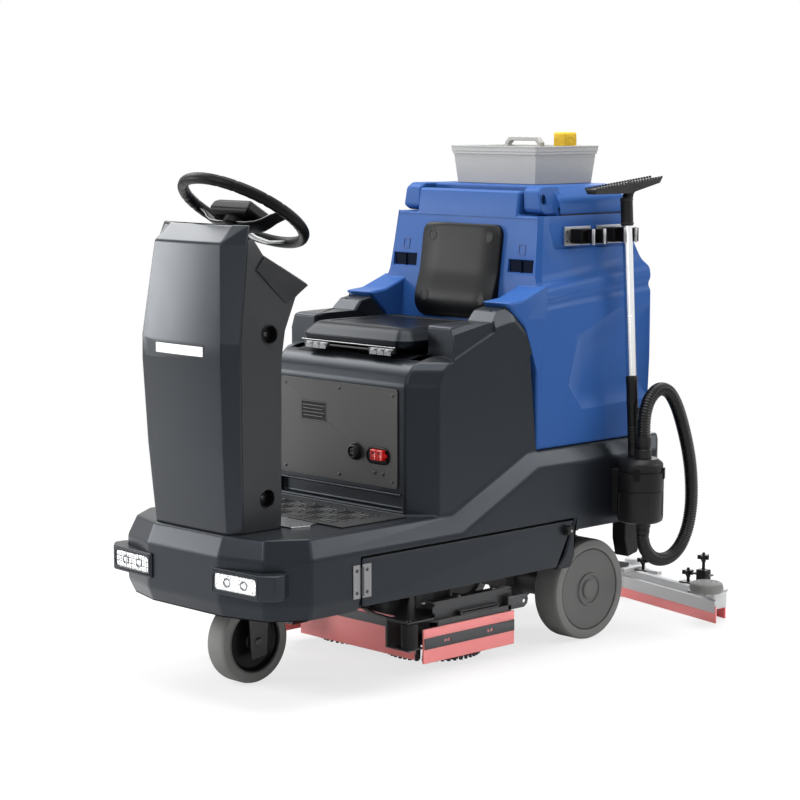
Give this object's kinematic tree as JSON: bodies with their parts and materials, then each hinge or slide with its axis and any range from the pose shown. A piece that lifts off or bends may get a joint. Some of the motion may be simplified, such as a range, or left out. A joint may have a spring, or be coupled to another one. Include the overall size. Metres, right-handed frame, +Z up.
{
  "type": "ride-on floor scrubber",
  "caption": "Ride-on floor scrubber-dryer with steered front wheel, brush deck, rear squeegee, tipping seat, recovery tank with tool tray, and side vacuum wand.",
  "frame": {"origin": "on the floor under the middle of the machine", "axes": "+Z up, -Y the way it drives, +X its left side"},
  "size_m": [0.85, 1.6101, 1.2683],
  "materials": {
    "body_plastic": "dark grey satin moulding",
    "black_plastic": "black satin",
    "seat_black": "black, semi gloss",
    "blue_plastic": "blue rotomoulded",
    "grey_plastic": "light grey",
    "rubber": "matt",
    "tyre": "grey non-marking",
    "steel": "dark powder coat",
    "aluminium": "polished",
    "panel_grey": "satin grey sheet",
    "blade_red": "pink-red polyurethane",
    "yellow": "sponge yellow",
    "lens": "clear"
  },
  "bodies": {
    "chassis": {"chassis_frame": "steel", "body_shell": "body_plastic", "floor_mat": "rubber", "pedal_plate": "aluminium", "headlamp_housing_left": "body_plastic", "headlamp_housing_right": "body_plastic", "headlamp_lens_left": "lens", "headlamp_lens_right": "lens", "column_front_cover": "body_plastic", "column_rear_cover": "body_plastic", "console_panel": "grey_plastic", "light_strip": "lens", "steering_boot": "black_plastic", "access_panel": "panel_grey", "battery_connector": "blade_red", "battery_pack": "black_plastic", "seat_hinge": "steel", "backrest": "seat_black", "recovery_tank": "blue_plastic", "transaxle": "steel", "clip_front": "black_plastic", "clip_rear": "black_plastic", "vacuum_canister": "black_plastic", "vacuum_hose": "black_plastic"},
    "wand": {"wand_tube": "aluminium", "wand_head": "black_plastic", "wand_handle": "black_plastic"},
    "steering": {"steering_wheel": "black_plastic", "wheel_pad": "black_plastic", "steering_shaft": "steel"},
    "fork": {"front_fork": "steel"},
    "front_wheel_body": {"front_wheel": "tyre"},
    "rear_wheel_left_body": {"rear_wheel_left": "tyre"},
    "rear_wheel_right_body": {"rear_wheel_right": "tyre"},
    "accelerator": {"accelerator_pedal": "steel"},
    "seat_body": {"seat": "seat_black"},
    "lid": {"tank_lid": "blue_plastic"},
    "tray": {"tool_tray": "grey_plastic", "sponge": "yellow"},
    "door_left": {"side_door_left": "body_plastic"},
    "door_right": {"side_door_right": "body_plastic"},
    "knob_left": {"door_knob_left": "black_plastic"},
    "knob_right": {"door_knob_right": "black_plastic"},
    "deck": {"brush_deck": "steel", "side_skirt_left": "blade_red", "side_skirt_right": "blade_red", "front_skirt": "blade_red"},
    "brush_left_body": {"brush_left": "rubber"},
    "brush_right_body": {"brush_right": "rubber"},
    "deck_roller_left_body": {"deck_roller_left": "rubber"},
    "deck_roller_right_body": {"deck_roller_right": "rubber"},
    "lift_arm": {"squeegee_arm": "steel"},
    "squeegee": {"squeegee_bar": "grey_plastic", "squeegee_blade_front": "blade_red", "squeegee_blade_rear": "blade_red"},
    "bump_roller_left_body": {"bump_roller_left": "tyre"},
    "bump_roller_right_body": {"bump_roller_right": "tyre"},
    "key": {"key_switch": "black_plastic"},
    "selector": {"direction_switch": "black_plastic"},
    "cap": {"charger_cap": "black_plastic"}
  },
  "joints": [
    {"name": "fork_steer", "type": "hinge", "parent": "chassis", "child": "fork", "pos_m": [0, -0.599, 0.212], "axis": [0, 0, 1], "range_deg": [-60, 60]},
    {"name": "steering_turn", "type": "hinge", "parent": "chassis", "child": "steering", "pos_m": [0, -0.6, 1.0975], "axis": [0, 0.518, 0.8554], "range_deg": [-60, 60]},
    {"name": "front_wheel_spin", "type": "hinge", "parent": "fork", "child": "front_wheel_body", "pos_m": [0, -0.599, 0.1], "axis": [1, 0, 0], "continuous": true},
    {"name": "rear_wheel_left_spin", "type": "hinge", "parent": "chassis", "child": "rear_wheel_left_body", "pos_m": [0.23, 0.3025, 0.1275], "axis": [1, 0, 0], "continuous": true},
    {"name": "rear_wheel_right_spin", "type": "hinge", "parent": "chassis", "child": "rear_wheel_right_body", "pos_m": [-0.23, 0.3025, 0.1275], "axis": [1, 0, 0], "continuous": true},
    {"name": "accelerator_press", "type": "hinge", "parent": "chassis", "child": "accelerator", "pos_m": [-0.095, -0.539, 0.4003], "axis": [1, 0, 0], "range_deg": [0, 18], "stiffness_Nm_per_rad": 3, "springref_deg": -17.19},
    {"name": "seat_tip", "type": "hinge", "parent": "chassis", "child": "seat_body", "pos_m": [0, -0.275, 0.762], "axis": [1, 0, 0], "range_deg": [0, 85]},
    {"name": "lid_open", "type": "hinge", "parent": "chassis", "child": "lid", "pos_m": [0, 0.17, 1.112], "axis": [1, 0, 0], "range_deg": [0, 75]},
    {"name": "tray_lift", "type": "slide", "parent": "lid", "child": "tray", "axis": [0, 0, 1], "range_m": [0, 0.15]},
    {"name": "wand_lift", "type": "slide", "parent": "chassis", "child": "wand", "axis": [-0.0579, 0.0054, 0.9983], "range_m": [0, 0.08]},
    {"name": "door_left_open", "type": "hinge", "parent": "chassis", "child": "door_left", "pos_m": [0.309, -0.519, 0.267], "axis": [0, 0, -1], "range_deg": [0, 100]},
    {"name": "door_right_open", "type": "hinge", "parent": "chassis", "child": "door_right", "pos_m": [-0.309, -0.519, 0.267], "axis": [0, 0, 1], "range_deg": [0, 100]},
    {"name": "knob_left_turn", "type": "hinge", "parent": "door_left", "child": "knob_left", "pos_m": [0.305, 0.172, 0.3], "axis": [1, 0, 0], "range_deg": [0, 90]},
    {"name": "knob_right_turn", "type": "hinge", "parent": "door_right", "child": "knob_right", "pos_m": [-0.305, 0.172, 0.3], "axis": [-1, 0, 0], "range_deg": [0, 90]},
    {"name": "deck_lift", "type": "slide", "parent": "chassis", "child": "deck", "axis": [0, 0, 1], "range_m": [-0.012, 0.035]},
    {"name": "brush_left_spin", "type": "hinge", "parent": "deck", "child": "brush_left_body", "pos_m": [0.121, -0.108, 0.012], "axis": [0, 0, 1], "continuous": true},
    {"name": "brush_right_spin", "type": "hinge", "parent": "deck", "child": "brush_right_body", "pos_m": [-0.121, -0.108, 0.012], "axis": [0, 0, 1], "continuous": true},
    {"name": "deck_roller_left_spin", "type": "hinge", "parent": "deck", "child": "deck_roller_left_body", "pos_m": [0.23, -0.295, 0.0663], "axis": [0, 0, 1], "continuous": true},
    {"name": "deck_roller_right_spin", "type": "hinge", "parent": "deck", "child": "deck_roller_right_body", "pos_m": [-0.23, -0.295, 0.0663], "axis": [0, 0, 1], "continuous": true},
    {"name": "squeegee_lift", "type": "hinge", "parent": "chassis", "child": "lift_arm", "pos_m": [0, 0.495, 0.2], "axis": [1, 0, 0], "range_deg": [0, 12]},
    {"name": "squeegee_swivel", "type": "hinge", "parent": "lift_arm", "child": "squeegee", "pos_m": [0, 0.724, 0.082], "axis": [0, 0, 1], "range_deg": [-10, 10]},
    {"name": "bump_roller_left_spin", "type": "hinge", "parent": "squeegee", "child": "bump_roller_left_body", "pos_m": [0.376, 0.63408, 0.0873], "axis": [0, 0, 1], "continuous": true},
    {"name": "bump_roller_right_spin", "type": "hinge", "parent": "squeegee", "child": "bump_roller_right_body", "pos_m": [-0.376, 0.63408, 0.0873], "axis": [0, 0, 1], "continuous": true},
    {"name": "key_turn", "type": "hinge", "parent": "chassis", "child": "key", "pos_m": [0.06, -0.57207, 0.95807], "axis": [0, 0.4781, 0.8783], "range_deg": [0, 90]},
    {"name": "selector_rock", "type": "hinge", "parent": "chassis", "child": "selector", "pos_m": [-0.06, -0.57207, 0.95807], "axis": [1, 0, 0], "range_deg": [-12, 12]},
    {"name": "charger_cap_turn", "type": "hinge", "parent": "chassis", "child": "cap", "pos_m": [0.064, -0.3116, 0.521], "axis": [0, -1, 0], "range_deg": [0, 90]}
  ],
  "couplings": [
    {"joint": "steering_turn", "follows": "fork_steer", "ratio": 1}
  ]
}
